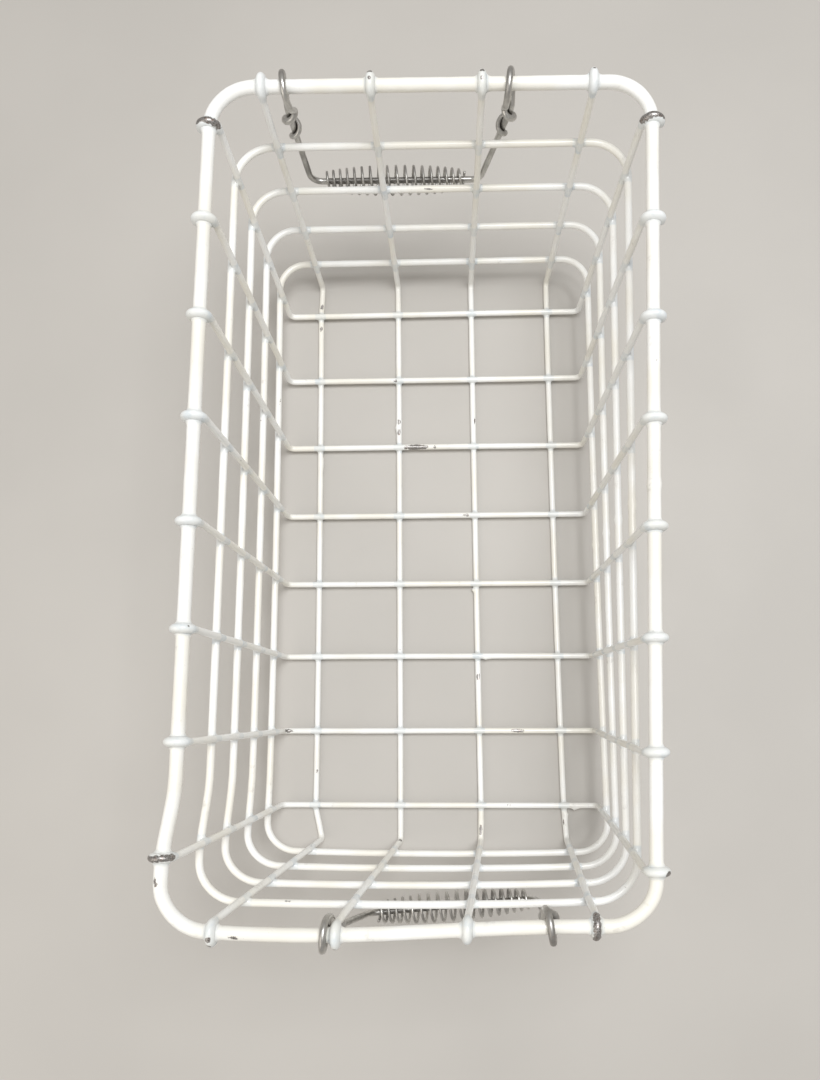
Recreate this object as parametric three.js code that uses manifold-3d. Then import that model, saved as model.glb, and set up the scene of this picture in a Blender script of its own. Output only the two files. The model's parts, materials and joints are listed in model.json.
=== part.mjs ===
// A wire produce basket: rods and wires bent cold, welded where they cross and dipped in white,
// with a plain steel drop handle and a coiled wire grip at each end.
// Millimetres, +Z up, X across the basket, Y along it, origin under the middle at resting level.
import * as THREE from 'three';
import { mergeVertices } from 'three/addons/utils/BufferGeometryUtils.js';
import Module from 'manifold-3d';

// Wire and rod diameters over the coating.
const RIM_ROD = 6.6;
const RING_WIRE = 4;
const WALL_WIRE = 3.6;
const HANDLE_WIRE = 3.4;
const GRIP_WIRE = 1.5;
const GAP = 0.3;

// Outlines, to the wire axes, before the basket was knocked slightly out of square.
const RIM_HALF_WIDTH = 112;
const RIM_HALF_LENGTH = 209;
const RIM_CORNER = 22;
const FLOOR_HALF_WIDTH = 99.4;
const FLOOR_HALF_LENGTH = 185.8;
const FLOOR_CORNER = 17;
const LONG_LEVEL = WALL_WIRE / 2;
const CROSS_LEVEL = LONG_LEVEL + WALL_WIRE + GAP;
const RIM_LEVEL = 158;
const RING_TOP_LEVEL = 121.3;
const RING_STEP = 32.6;
const RING_COUNT = 4;

// Where each upright wire crosses the floor and hooks over the rim: cross wires from the far
// end, long wires from the left side.
const CROSS_FLOOR_PLACES = [164.5, 118.2, 71.8, 25, -20.7, -68.5, -116.7, -164];
const CROSS_HOOK_PLACES = {
  left: [187.7, 137.6, 87.4, 35.7, -16.3, -68.4, -121.7, -174.8],
  right: [187.1, 135, 84, 32.3, -20.8, -74.5, -128, -182.4],
};
const LONG_FLOOR_PLACES = [-78.7, -25, 25.8, 78.1];
const LONG_HOOK_PLACES = {
  far: [-86, -30.6, 26, 82.3],
  near: [-87.9, -34.7, 25.5, 84.3],
};

// How far each long wire is knocked sideways at its floor bends, from where the kink starts.
const LONG_BEND_KINKS = {
  far: [1.2, 0, 0, 0],
  near: [4.4, 0, -0.6, 0.8],
};
const KINK_START = 166;
const KINK_BEND = 9;

// Bends of the upright wires.
const HOOK_CLEARANCE = 0.6;
const HOOK_RADIUS = RIM_ROD / 2 + HOOK_CLEARANCE + WALL_WIRE / 2;
const HOOK_STUB = 5;
const HOOK_TAIL = 1.5;
const WALL_BEND = 8;
const FLOOR_BEND = 4;
const RING_GAP = 0.5;
const RING_STANDOFF = (WALL_WIRE + RING_WIRE) / 2 + RING_GAP;
const WELD_SPLIT = 0.6;
const WELD_LENGTH = 5;
const WELD_SWELL = 0.35;

// How far the used basket is out of square.
const RIM_SKEW = 0.0233;
const FLOOR_TURN = 0.0084;
const FLOOR_FAN = 0.0095;
const FLOOR_TAPER = 0.0195;
const FLOOR_WAIST = 0.012;
const CORNER_BULGE = 4.6;
const BULGE_START = 138;
const BULGE_LENGTH = 42;
const BULGE_STATIONS = [0, 0.25, 0.5, 0.75];
const NEAR_START = 0.86;
const NEAR_BOW = 2.3;
const NEAR_PUSH = 1.4;
const NEAR_RIM_PUSH = 0.8;
const NEAR_RIM_WAVE = 1.5;

// Drop handles, hanging from the end runs of the rim.
const EYE_RADIUS = 7.3;
const EYE_DROP = 2;
const EYE_NECK = 16;
const EYE_SHOULDER = 7;
const NECK_BEND = 5;
const TAIL_GAP = 0.5;
const TAIL_STANDOFF = HANDLE_WIRE + TAIL_GAP;
const TAIL_WRAP = 20;
const TAIL_STEPS = 12;
const HANDLE_DROP = 76;
const KNEE_BEND = 7;
const GRIP_HALF = 41;
const GRIP_TURNS = 18;
const GRIP_MID_RADIUS = 7.5;
const GRIP_END_RADIUS = 4.8;
const GRIP_END_CROWDING = 0.05;
const HANDLES = {
  far: {
    at: [-12.5, RIM_HALF_LENGTH, RIM_LEVEL],
    turn: 0,
    halfSpan: 59,
    barHalf: 50,
    sway: -7.7,
    twist: 0,
    neckLean: 0,
    barLean: 0,
  },
  near: {
    at: [6.9, -208.5, RIM_LEVEL],
    turn: Math.PI + 0.03,
    halfSpan: 53.5,
    barHalf: 45,
    sway: -4.8,
    twist: 0.05,
    neckLean: 1.2,
    barLean: 3.4,
  },
};

// Facets.
const ROD_SIDES = 12;
const WIRE_SIDES = 8;
const GRIP_SIDES = 6;
const GRIP_STEPS_PER_TURN = 9;
const QUARTER_STEPS = 4;
const LONGEST_STEP = 34;

const coating = () => new THREE.MeshStandardMaterial({ color: 0xefece4, roughness: 0.42, metalness: 0 });
const steel = () => new THREE.MeshStandardMaterial({ color: 0x8f9196, roughness: 0.34, metalness: 1 });

const wasm = await Module();
wasm.setup();

// A bent wire's axis as a run of stations, so that straight stretches cost one step each.
class WirePath extends THREE.Curve {
  constructor(stations, side) {
    super();
    this.stations = stations;
    this.side = side;
  }

  index(share) {
    return Math.round(share * (this.stations.length - 1));
  }

  getPoint(share, target = new THREE.Vector3()) {
    return target.copy(this.stations[this.index(share)]);
  }

  getPointAt(share, target) {
    return this.getPoint(share, target);
  }

  getTangentAt(share, target = new THREE.Vector3()) {
    const here = this.index(share);
    const before = this.stations[Math.max(here - 1, 0)];
    const after = this.stations[Math.min(here + 1, this.stations.length - 1)];
    const middle = this.stations[here];
    const arriving = new THREE.Vector3().subVectors(middle, before).normalize();
    const leaving = new THREE.Vector3().subVectors(after, middle).normalize();
    return target.addVectors(arriving, leaving).normalize();
  }

  // With a side direction, the section keeps one flat turned that way all along the wire.
  computeFrenetFrames(steps, closed) {
    if (!this.side) return super.computeFrenetFrames(steps, closed);
    const frames = { tangents: [], normals: [], binormals: [] };
    for (let step = 0; step <= steps; step++) {
      const tangent = this.getTangentAt(step / steps);
      const binormal = this.side.clone().addScaledVector(tangent, -this.side.dot(tangent)).normalize();
      frames.tangents.push(tangent);
      frames.binormals.push(binormal);
      frames.normals.push(new THREE.Vector3().crossVectors(binormal, tangent));
    }
    return frames;
  }
}

const corner = (x, y, z, bend = 0) => ({ at: new THREE.Vector3(x, y, z), bend });

// The stations of a line with its corners bent to their radii.
function bendLine(corners) {
  const stations = [];
  corners.forEach(({ at, bend }, number) => {
    if (!bend) {
      stations.push(at.clone());
      return;
    }
    const arriving = new THREE.Vector3().subVectors(at, corners[number - 1].at).normalize();
    const leaving = new THREE.Vector3().subVectors(corners[number + 1].at, at).normalize();
    const turn = arriving.angleTo(leaving);
    const inward = new THREE.Vector3().subVectors(leaving, arriving).normalize();
    const centre = at.clone().addScaledVector(inward, bend / Math.cos(turn / 2));
    const steps = Math.max(1, Math.ceil(turn / (Math.PI / 2) * QUARTER_STEPS - 0.01));
    const axis = new THREE.Vector3().crossVectors(arriving, leaving).normalize();
    const start = at.clone().addScaledVector(arriving, -bend * Math.tan(turn / 2)).sub(centre);
    for (let step = 0; step <= steps; step++) {
      stations.push(start.clone().applyAxisAngle(axis, turn * step / steps).add(centre));
    }
  });
  return stations.filter((point, number) => !number || point.distanceTo(stations[number - 1]) > 0.01);
}

// A round section as a polygon with flats at the wire's diameter, one of them facing each axis.
function wireSection(diameter, sides) {
  const section = new THREE.Shape();
  const reach = diameter / 2 / Math.cos(Math.PI / sides);
  for (let side = 0; side < sides; side++) {
    const angle = (side + 0.5) * 2 * Math.PI / sides;
    if (side) section.lineTo(reach * Math.cos(angle), reach * Math.sin(angle));
    else section.moveTo(reach * Math.cos(angle), reach * Math.sin(angle));
  }
  section.closePath();
  return section;
}

function sweep(stations, diameter, sides, side) {
  const extrudePath = new WirePath(stations, side);
  const section = wireSection(diameter, sides);
  return new THREE.ExtrudeGeometry(section, { steps: stations.length - 1, extrudePath });
}

function toSolid(geometry) {
  const bare = geometry.clone();
  bare.deleteAttribute('normal');
  bare.deleteAttribute('uv');
  const merged = mergeVertices(bare, 1e-3);
  const vertProperties = new Float32Array(merged.attributes.position.array);
  const triVerts = new Uint32Array(merged.index.array);
  return new wasm.Manifold(new wasm.Mesh({ numProp: 3, vertProperties, triVerts }));
}

function toGeometry(solid) {
  const { vertProperties, triVerts } = solid.getMesh();
  const geometry = new THREE.BufferGeometry();
  geometry.setAttribute('position', new THREE.BufferAttribute(vertProperties, 3));
  geometry.setIndex(new THREE.BufferAttribute(triVerts, 1));
  return geometry;
}

// The knocks of a long life: the rim leans into a rhombus, the floor tapers, narrows at the
// middle and sits turned, one corner of the rim is pushed out and the near end is bowed.
function knock(point) {
  const { x, y, z } = point;
  const { smoothstep, lerp } = THREE.MathUtils;
  const rise = Math.min(1, (z - CROSS_LEVEL) / (RIM_LEVEL - CROSS_LEVEL));
  const low = 1 - rise;
  const along = smoothstep(-y, BULGE_START, BULGE_START + BULGE_LENGTH);
  const outward = smoothstep(-x, RIM_HALF_WIDTH / 2, RIM_HALF_WIDTH - RIM_CORNER / 2);
  const bulge = CORNER_BULGE * along * outward * rise;
  const share = y / FLOOR_HALF_LENGTH;
  const waist = FLOOR_WAIST * Math.max(0, 1 - share * share);
  const taper = 1 - low * (FLOOR_TAPER * share + waist);
  const across = x / RIM_HALF_WIDTH;
  const top = smoothstep(z, RING_TOP_LEVEL, RIM_LEVEL);
  const rimPush = top * (NEAR_RIM_PUSH + NEAR_RIM_WAVE * Math.sin(Math.PI * across));
  const bow = NEAR_BOW * (1 - across * across) - NEAR_PUSH - rimPush;
  const near = smoothstep(-y / lerp(FLOOR_HALF_LENGTH, RIM_HALF_LENGTH, rise), NEAR_START, 1);
  return new THREE.Vector3(
    x * taper - FLOOR_TURN * low * y + RIM_SKEW * rise * y - bulge,
    y + FLOOR_FAN * low * x * share - near * bow,
    z,
  );
}

// A frame wire's stations, close enough together to follow the knocks.
function knockedLine(corners) {
  const stations = [];
  bendLine(corners).forEach((point, number, line) => {
    const before = line[Math.max(number - 1, 0)];
    const steps = Math.ceil(point.distanceTo(before) / LONGEST_STEP);
    for (let step = 1; step < steps; step++) {
      stations.push(before.clone().lerp(point, step / steps));
    }
    stations.push(point);
  });
  return stations.map(knock);
}

// How far out the wall wires' axes are at a level, between the floor bend and the hook.
function wallReach(level, floorReach, floorLevel, rimReach) {
  const share = (level - floorLevel) / (RIM_LEVEL - HOOK_STUB - floorLevel);
  return THREE.MathUtils.lerp(floorReach, rimReach - HOOK_RADIUS, share);
}

// A rod or wire bent into a rounded rectangle and closed by a butt weld in one long side.
function hoop({ halfWidth, halfLength, bend, level, diameter, sides }) {
  const bulge = BULGE_STATIONS.map((share) => -BULGE_START - share * BULGE_LENGTH);
  const corners = [
    corner(halfWidth, WELD_SPLIT, level),
    corner(halfWidth, halfLength, level, bend),
    corner(-halfWidth, halfLength, level, bend),
    ...bulge.map((y) => corner(-halfWidth, y, level)),
    corner(-halfWidth, -halfLength, level, bend),
    corner(halfWidth, -halfLength, level, bend),
    corner(halfWidth, -WELD_SPLIT, level),
  ];
  const up = new THREE.Vector3(0, 0, 1);
  const wire = sweep(knockedLine(corners), diameter, sides, up);
  const weldEnds = [-WELD_LENGTH / 2, WELD_LENGTH / 2];
  const weldLine = weldEnds.map((y) => knock(new THREE.Vector3(halfWidth, y, level)));
  const weld = sweep(weldLine, diameter + 2 * WELD_SWELL, sides, up);
  return toGeometry(toSolid(wire).add(toSolid(weld)));
}

// How far the rim's corner bend has turned inward, past the end of a straight run.
function cornerSag(hookAlong, straightHalf) {
  const beyond = Math.max(0, Math.abs(hookAlong) - straightHalf);
  return RIM_CORNER - Math.sqrt(RIM_CORNER ** 2 - beyond ** 2);
}

// One wall run of an upright wire, from its floor bend up and over the rim.
function wallRun({ out, floorReach, floorLevel, wall, floorAlong, hookAlong, place }) {
  const rimReach = wall.reach - cornerSag(hookAlong, wall.straightHalf);
  const inner = out * (rimReach - HOOK_RADIUS);
  const outer = out * (rimReach + HOOK_RADIUS);
  const crest = RIM_LEVEL + HOOK_RADIUS;
  return [
    corner(...place(out * floorReach, floorAlong, floorLevel), FLOOR_BEND),
    corner(...place(inner, hookAlong, RIM_LEVEL - HOOK_STUB), WALL_BEND),
    corner(...place(inner, hookAlong, crest), HOOK_RADIUS),
    corner(...place(outer, hookAlong, crest), HOOK_RADIUS),
    corner(...place(outer, hookAlong, RIM_LEVEL - HOOK_TAIL)),
  ];
}

function crossWire(number) {
  const shared = {
    floorReach: FLOOR_HALF_WIDTH,
    floorLevel: CROSS_LEVEL,
    wall: { reach: RIM_HALF_WIDTH, straightHalf: RIM_HALF_LENGTH - RIM_CORNER },
    floorAlong: CROSS_FLOOR_PLACES[number],
    place: (reach, along, up) => [reach, along, up],
  };
  const left = wallRun({ ...shared, out: -1, hookAlong: CROSS_HOOK_PLACES.left[number] });
  const right = wallRun({ ...shared, out: 1, hookAlong: CROSS_HOOK_PLACES.right[number] });
  const stations = knockedLine([...left.reverse(), ...right]);
  return sweep(stations, WALL_WIRE, WIRE_SIDES, new THREE.Vector3(0, 1, 0));
}

function longWire(number) {
  const floorPlace = LONG_FLOOR_PLACES[number];
  const halfLine = (end, out) => {
    const kink = LONG_BEND_KINKS[end][number];
    const run = wallRun({
      out,
      floorReach: FLOOR_HALF_LENGTH,
      floorLevel: LONG_LEVEL,
      wall: { reach: RIM_HALF_LENGTH, straightHalf: RIM_HALF_WIDTH - RIM_CORNER },
      floorAlong: floorPlace + kink,
      hookAlong: LONG_HOOK_PLACES[end][number],
      place: (reach, along, up) => [along, reach, up],
    });
    const kinkStart = corner(floorPlace, out * KINK_START, LONG_LEVEL, KINK_BEND);
    return kink ? [kinkStart, ...run] : run;
  };
  const stations = knockedLine([...halfLine('near', -1).reverse(), ...halfLine('far', 1)]);
  return sweep(stations, WALL_WIRE, WIRE_SIDES, new THREE.Vector3(1, 0, 0));
}

function sideRing(number) {
  const level = RING_TOP_LEVEL - number * RING_STEP;
  const width = wallReach(level, FLOOR_HALF_WIDTH, CROSS_LEVEL, RIM_HALF_WIDTH);
  const length = wallReach(level, FLOOR_HALF_LENGTH, LONG_LEVEL, RIM_HALF_LENGTH);
  return hoop({
    halfWidth: width + RING_STANDOFF,
    halfLength: length + RING_STANDOFF,
    bend: THREE.MathUtils.lerp(FLOOR_CORNER, RIM_CORNER, level / RIM_LEVEL),
    level,
    diameter: RING_WIRE,
    sides: WIRE_SIDES,
  });
}

function rimRod() {
  return hoop({
    halfWidth: RIM_HALF_WIDTH,
    halfLength: RIM_HALF_LENGTH,
    bend: RIM_CORNER,
    level: RIM_LEVEL,
    diameter: RIM_ROD,
    sides: ROD_SIDES,
  });
}

// A handle wire in its own frame: the rim's axis is X, outboard is +Y and it hangs down -Z.
// Each end runs up the leg, round its eye and back down, wrapped once about the leg.
function handleWire({ halfSpan, barHalf, sway, twist, neckLean, barLean }) {
  const end = (side) => {
    const eyeX = side * halfSpan;
    const neck = new THREE.Vector3(eyeX, neckLean, -EYE_NECK);
    const bar = side * barHalf;
    const knee = new THREE.Vector3(bar + sway, barLean + bar * twist, -HANDLE_DROP);
    const shift = (share) => eyeX - side * TAIL_STANDOFF * share;
    const top = EYE_RADIUS - EYE_DROP;
    const corners = [
      { at: knee, bend: KNEE_BEND },
      { at: neck, bend: NECK_BEND },
      corner(eyeX, EYE_RADIUS, -EYE_SHOULDER, EYE_RADIUS),
      corner(shift(1 / 3), EYE_RADIUS, top, EYE_RADIUS),
      corner(shift(2 / 3), -EYE_RADIUS, top, EYE_RADIUS),
      corner(shift(1), -EYE_RADIUS, -EYE_SHOULDER, EYE_RADIUS),
    ];
    for (let step = 0; step <= TAIL_STEPS; step++) {
      const angle = 2 * Math.PI * step / TAIL_STEPS;
      const drop = 1 + TAIL_WRAP * step / TAIL_STEPS;
      const leg = neck.clone().lerp(knee, drop / (HANDLE_DROP - EYE_NECK));
      const inward = -side * TAIL_STANDOFF * Math.cos(angle);
      corners.push(corner(leg.x + inward, leg.y - TAIL_STANDOFF * Math.sin(angle), leg.z));
    }
    return corners;
  };
  return sweep(bendLine([...end(-1).reverse(), ...end(1)]), HANDLE_WIRE, WIRE_SIDES);
}

// A barrel-shaped coil about X, its turns a little closer at the ends.
function gripCoil() {
  const stations = [];
  const count = GRIP_TURNS * GRIP_STEPS_PER_TURN;
  for (let step = 0; step <= count; step++) {
    const place = 2 * step / count - 1;
    const angle = 2 * Math.PI * step / GRIP_STEPS_PER_TURN;
    const radius = THREE.MathUtils.lerp(GRIP_MID_RADIUS, GRIP_END_RADIUS, place * place);
    const x = GRIP_HALF * (place + GRIP_END_CROWDING * Math.sin(Math.PI * place));
    stations.push(new THREE.Vector3(x, radius * Math.cos(angle), radius * Math.sin(angle)));
  }
  return sweep(stations, GRIP_WIRE, GRIP_SIDES, new THREE.Vector3(1, 0, 0));
}

const basket = new THREE.Group();

function addPiece(name, geometry, material, parent = basket) {
  const piece = new THREE.Mesh(geometry, material);
  piece.name = name;
  parent.add(piece);
  return piece;
}

addPiece('rim_rod', rimRod(), coating());
for (let number = 0; number < RING_COUNT; number++) {
  addPiece(`side_ring_${number + 1}`, sideRing(number), coating());
}
CROSS_FLOOR_PLACES.forEach((_, number) => {
  addPiece(`cross_wire_${number + 1}`, crossWire(number), coating());
});
LONG_FLOOR_PLACES.forEach((_, number) => {
  addPiece(`long_wire_${number + 1}`, longWire(number), coating());
});
for (const [end, handle] of Object.entries(HANDLES)) {
  const hanger = new THREE.Group();
  hanger.position.set(...handle.at);
  hanger.rotation.z = handle.turn;
  basket.add(hanger);
  addPiece(`${end}_handle`, handleWire(handle), steel(), hanger);
  const coil = addPiece(`${end}_grip_coil`, gripCoil(), steel(), hanger);
  coil.position.set(handle.sway, handle.barLean, -HANDLE_DROP);
  coil.rotation.z = Math.atan(handle.twist);
}

// The origin goes under the middle of the whole basket.
basket.updateMatrixWorld(true);
const box = new THREE.Box3().setFromObject(basket, true);
basket.position.set(-(box.min.x + box.max.x) / 2, -(box.min.y + box.max.y) / 2, -box.min.z);

export default basket;
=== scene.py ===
# A wire produce basket: rods and wires bent cold, welded where they cross and dipped in white,
# with a bare steel drop handle and a coiled wire grip at each end. Metres, Z up.
import json
import math

import bpy
import numpy as np
from mathutils import Matrix, Vector
from mathutils.kdtree import KDTree

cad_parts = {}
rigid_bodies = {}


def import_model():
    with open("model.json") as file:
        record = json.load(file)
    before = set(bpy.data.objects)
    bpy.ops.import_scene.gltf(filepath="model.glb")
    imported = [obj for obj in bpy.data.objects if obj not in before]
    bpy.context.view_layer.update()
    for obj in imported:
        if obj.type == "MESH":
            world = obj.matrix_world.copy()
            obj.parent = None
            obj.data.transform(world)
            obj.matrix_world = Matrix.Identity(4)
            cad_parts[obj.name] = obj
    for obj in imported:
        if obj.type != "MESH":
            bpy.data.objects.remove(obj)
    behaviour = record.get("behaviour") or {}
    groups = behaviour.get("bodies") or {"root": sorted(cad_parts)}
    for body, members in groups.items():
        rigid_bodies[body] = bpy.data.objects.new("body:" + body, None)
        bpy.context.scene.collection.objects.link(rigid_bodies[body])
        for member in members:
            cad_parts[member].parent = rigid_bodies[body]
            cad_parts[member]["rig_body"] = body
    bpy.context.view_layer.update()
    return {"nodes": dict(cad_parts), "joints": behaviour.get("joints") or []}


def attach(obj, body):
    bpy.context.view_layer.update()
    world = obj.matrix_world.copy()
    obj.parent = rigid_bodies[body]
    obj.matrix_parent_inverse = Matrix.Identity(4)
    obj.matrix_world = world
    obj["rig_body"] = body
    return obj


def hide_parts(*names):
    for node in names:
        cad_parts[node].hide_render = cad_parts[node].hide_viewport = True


bl_info = {
    "name": "Wire Produce Basket",
    "version": (1, 0, 0),
    "blender": (4, 5, 0),
    "location": "View3D > Sidebar > Basket",
    "description": "Builds a dipped wire basket with drop handles, its finishes and a plain stage",
    "category": "Add Mesh",
}

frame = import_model()
MM = 0.001

# Outlines to the wire axes, in millimetres, before the basket was knocked out of square.
RIM_HALF_WIDTH = 112.0
RIM_HALF_LENGTH = 209.0
RIM_CORNER = 22.0
RIM_LEVEL = 158.0
FLOOR_HALF_WIDTH = 99.4
FLOOR_HALF_LENGTH = 185.8
FLOOR_CORNER = 17.0
RING_TOP_LEVEL = 121.3
RING_STEP = 32.6
RING_COUNT = 4
LONG_LEVEL = 1.8
WELD_SET_DOWN = 1.3
HOOK_SET_DOWN = 0.3

# Upright wires: where each lies on the floor and hooks over the rim, none of them quite evenly.
CROSS_FLOOR_PLACES = [164.5, 118.2, 71.8, 25.0, -20.7, -68.5, -116.7, -164.0]
CROSS_HOOK_PLACES = {
    "left": [187.7, 137.6, 87.4, 35.7, -16.3, -68.4, -121.7, -174.8],
    "right": [187.1, 135.0, 84.0, 32.3, -20.8, -74.5, -128.0, -182.4],
}
LONG_FLOOR_PLACES = [-78.7, -25.0, 25.8, 78.1]
LONG_HOOK_PLACES = {"far": [-86.0, -30.6, 26.0, 82.3], "near": [-87.9, -34.7, 25.5, 84.3]}
LONG_BEND_KINKS = {"far": [1.2, 0.0, 0.0, 0.0], "near": [4.4, 0.0, -0.6, 0.8]}
KINK_START = 166.0
KINK_BEND = 9.0
HOOK_STUB = 5.0
HOOK_TAIL = 1.5
WALL_BEND = 8.0
FLOOR_BEND = 4.0

# How far the used basket is out of square.
RIM_SKEW = 0.0233
FLOOR_TURN = 0.0084
FLOOR_FAN = 0.0095
FLOOR_TAPER = 0.0195
FLOOR_WAIST = 0.012
NEAR_BOW = 2.3
NEAR_PUSH = 1.4
NEAR_RIM_PUSH = 0.8
NEAR_RIM_WAVE = 1.5
NEAR_START = 0.86
CORNER_BULGE = 4.6
BULGE_START = 138.0
BULGE_LENGTH = 42.0

# Drop handles, in their own frame: the rim's axis is X, outboard is +Y and they hang down -Z.
EYE_RADIUS = 7.3
EYE_DROP = 2.0
EYE_NECK = 16.0
EYE_SHOULDER = 7.0
NECK_BEND = 5.0
STRAND_GAP = 0.1
TAIL_START = 1.0
TAIL_WRAP = 20.0
TAIL_TURNS = 1.6
TAIL_STEPS = 54
TAIL_TAPER = 0.6
TAPER_LENGTH = 24.0
HANDLE_DROP = 76.0
KNEE_BEND = 7.0
GRIP_HALF = 41.0
GRIP_TURNS = 18
GRIP_MID_RADIUS = 7.5
GRIP_END_RADIUS = 4.8
GRIP_END_CROWDING = 0.05
HANDLES = {
    "far": {
        "at": (-12.5, RIM_HALF_LENGTH, RIM_LEVEL),
        "turn": 0.0,
        "half_span": 59.0,
        "bar_half": 50.0,
        "sway": -7.7,
        "twist": 0.0,
        "neck_lean": 0.0,
        "bar_lean": 0.0,
    },
    "near": {
        "at": (6.9, -208.5, RIM_LEVEL),
        "turn": math.pi + 0.03,
        "half_span": 53.5,
        "bar_half": 45.0,
        "sway": -4.8,
        "twist": 0.05,
        "neck_lean": 1.2,
        "bar_lean": 3.4,
    },
}

# Where the coating has gone: a wire and the wire it crosses there, then (shift along it, patch radius).
FLOOR_CHIPS = {
    ("cross_wire_3", "long_wire_2"): [
        (5.0, 1.2), (8.0, 1.7), (11.0, 2.3), (13.5, 1.9), (17.5, 1.3), (23.5, 1.3), (26.0, 1.0)
    ],
    ("long_wire_2", "cross_wire_3"): [(11.0, 1.2), (18.0, 1.0)],
    ("cross_wire_4", "long_wire_3"): [(-5.0, 1.0), (-7.5, 1.1)],
    ("cross_wire_7", "long_wire_3"): [(22.0, 1.0), (25.0, 1.2), (29.0, 1.1)],
    ("cross_wire_7", "long_wire_1"): [(-18.0, 1.2), (-21.0, 1.0)],
    ("long_wire_3", "cross_wire_6"): [(-13.5, 1.1), (-15.0, 0.8)],
    ("long_wire_3", "cross_wire_8"): [(-13.5, 1.0), (-17.0, 0.8)],
    ("long_wire_2", "cross_wire_8"): [(-25.0, 1.3)],
    ("long_wire_1", "cross_wire_1"): [(7.0, 1.0), (-8.0, 1.1)],
    ("cross_wire_2", "long_wire_2"): [(-2.0, 1.0)],
}
# Chips are on the side of a wire that faces up and out, towards this point over the basket.
OUT_OF_BASKET = (0.0, -0.12, 0.5)
# Knocks on the rim, as (across, along, patch radius), before it was knocked out of square.
RIM_CHIPS = [
    (-115.0, -184.0, 0.9),
    (-114.3, -185.6, 0.9),
    (-113.2, -187.2, 0.8),
    (-81.0, -209.0, 1.0),
    (-78.6, -210.6, 0.8),
    (-76.0, -209.0, 0.7),
    (-30.0, 210.0, 0.5),
    (113.0, 60.0, 0.5),
]
# Drips that set, as (wire, the wire it crosses there, shift along it, height, which way it hangs).
SET_DRIPS = [
    ("cross_wire_8", "long_wire_4", 6.5, 1.5, (0.0, -0.9, -0.3)),
    ("long_wire_3", "cross_wire_5", -3.5, 1.5, (-0.9, 0.0, -0.2)),
    ("long_wire_1", "cross_wire_3", -7.5, 1.1, (0.9, 0.0, -0.1)),
    ("long_wire_1", "cross_wire_3", -11.0, 0.7, (0.9, 0.0, -0.1)),
    ("long_wire_2", "cross_wire_3", 14.0, 0.8, (-0.8, 0.0, 0.2)),
    ("cross_wire_6", "long_wire_3", 5.0, 0.6, (0.0, -0.8, 0.1)),
    ("long_wire_4", "cross_wire_8", -6.0, 0.8, (0.7, 0.0, 0.2)),
    ("long_wire_3", "cross_wire_8", -12.0, 0.9, (0.8, 0.0, 0.3)),
]
# Drips and small chips that fell anywhere on a wire, and the chips' smallest and largest radius.
STRAY_DRIPS = 4
STRAY_CHIPS = 3
STRAY_CHIP_RADII = (0.3, 0.65)

# Hooks rubbed bare over their crests, as (wire, side).
RUBBED_HOOKS = [
    ("cross_wire_1", "left"),
    ("cross_wire_1", "right"),
    ("cross_wire_8", "left"),
    ("long_wire_4", "near"),
]
# Hooks with bare spots: (how far over the crest in degrees, patch radius).
SPOTTED_HOOKS = {
    ("long_wire_2", "far"): [(38, 1.5), (-8, 0.9)],
    ("long_wire_3", "far"): [(30, 1.2), (-14, 0.8)],
    ("long_wire_4", "far"): [(35, 0.9)],
    ("cross_wire_3", "right"): [(74, 0.8)],
    ("cross_wire_8", "right"): [(48, 1.7)],
    ("long_wire_2", "near"): [(68, 0.9)],
    ("long_wire_1", "near"): [(20, 1.3), (62, 1.2)],
}
RUBBED_LEANS = (-66, -42, -18, 6, 30, 54, 78)
RUBBED_RADIUS = 2.0
HOOK_SIDES = {"left": -1, "right": 1, "near": -1, "far": 1}


# ---- sizes and colours


def amount(name, description, default, unit="NONE"):
    """A number that a user may change."""
    return bpy.props.FloatProperty(name=name, description=description, default=default, unit=unit)


def tone(name, description, default):
    """A colour that a user may change."""
    return bpy.props.FloatVectorProperty(
        name=name, description=description, default=default, subtype="COLOR"
    )


class BasketSizes(bpy.types.PropertyGroup):
    """Wire gauges and how thickly the dip has gathered."""

    rim_rod: amount("Rim rod", "Diameter of the coated rim rod", 6.6 * MM, "LENGTH")
    ring_wire: amount("Ring wire", "Diameter of the coated ring wires", 4.0 * MM, "LENGTH")
    wall_wire: amount("Upright wire", "Diameter of the coated upright wires", 3.6 * MM, "LENGTH")
    handle_wire: amount("Handle wire", "Diameter of the handle wires", 3.4 * MM, "LENGTH")
    grip_wire: amount("Grip wire", "Diameter of the coil grips' wire", 1.5 * MM, "LENGTH")
    weld_fillet: amount("Weld fillet", "Reach of the coating where wires cross", 1.9 * MM, "LENGTH")
    hook_fillet: amount("Hook fillet", "Reach of the coating under the hooks", 3.4 * MM, "LENGTH")
    coat_depth: amount("Coating depth", "Depth of a chip in the coating", 0.16 * MM, "LENGTH")
    wander: amount("Wander", "How far hand-bent wires stray from straight", 0.2 * MM, "LENGTH")
    drip: amount("Drip", "Height of the set drips under the wires", 0.7 * MM, "LENGTH")


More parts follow.
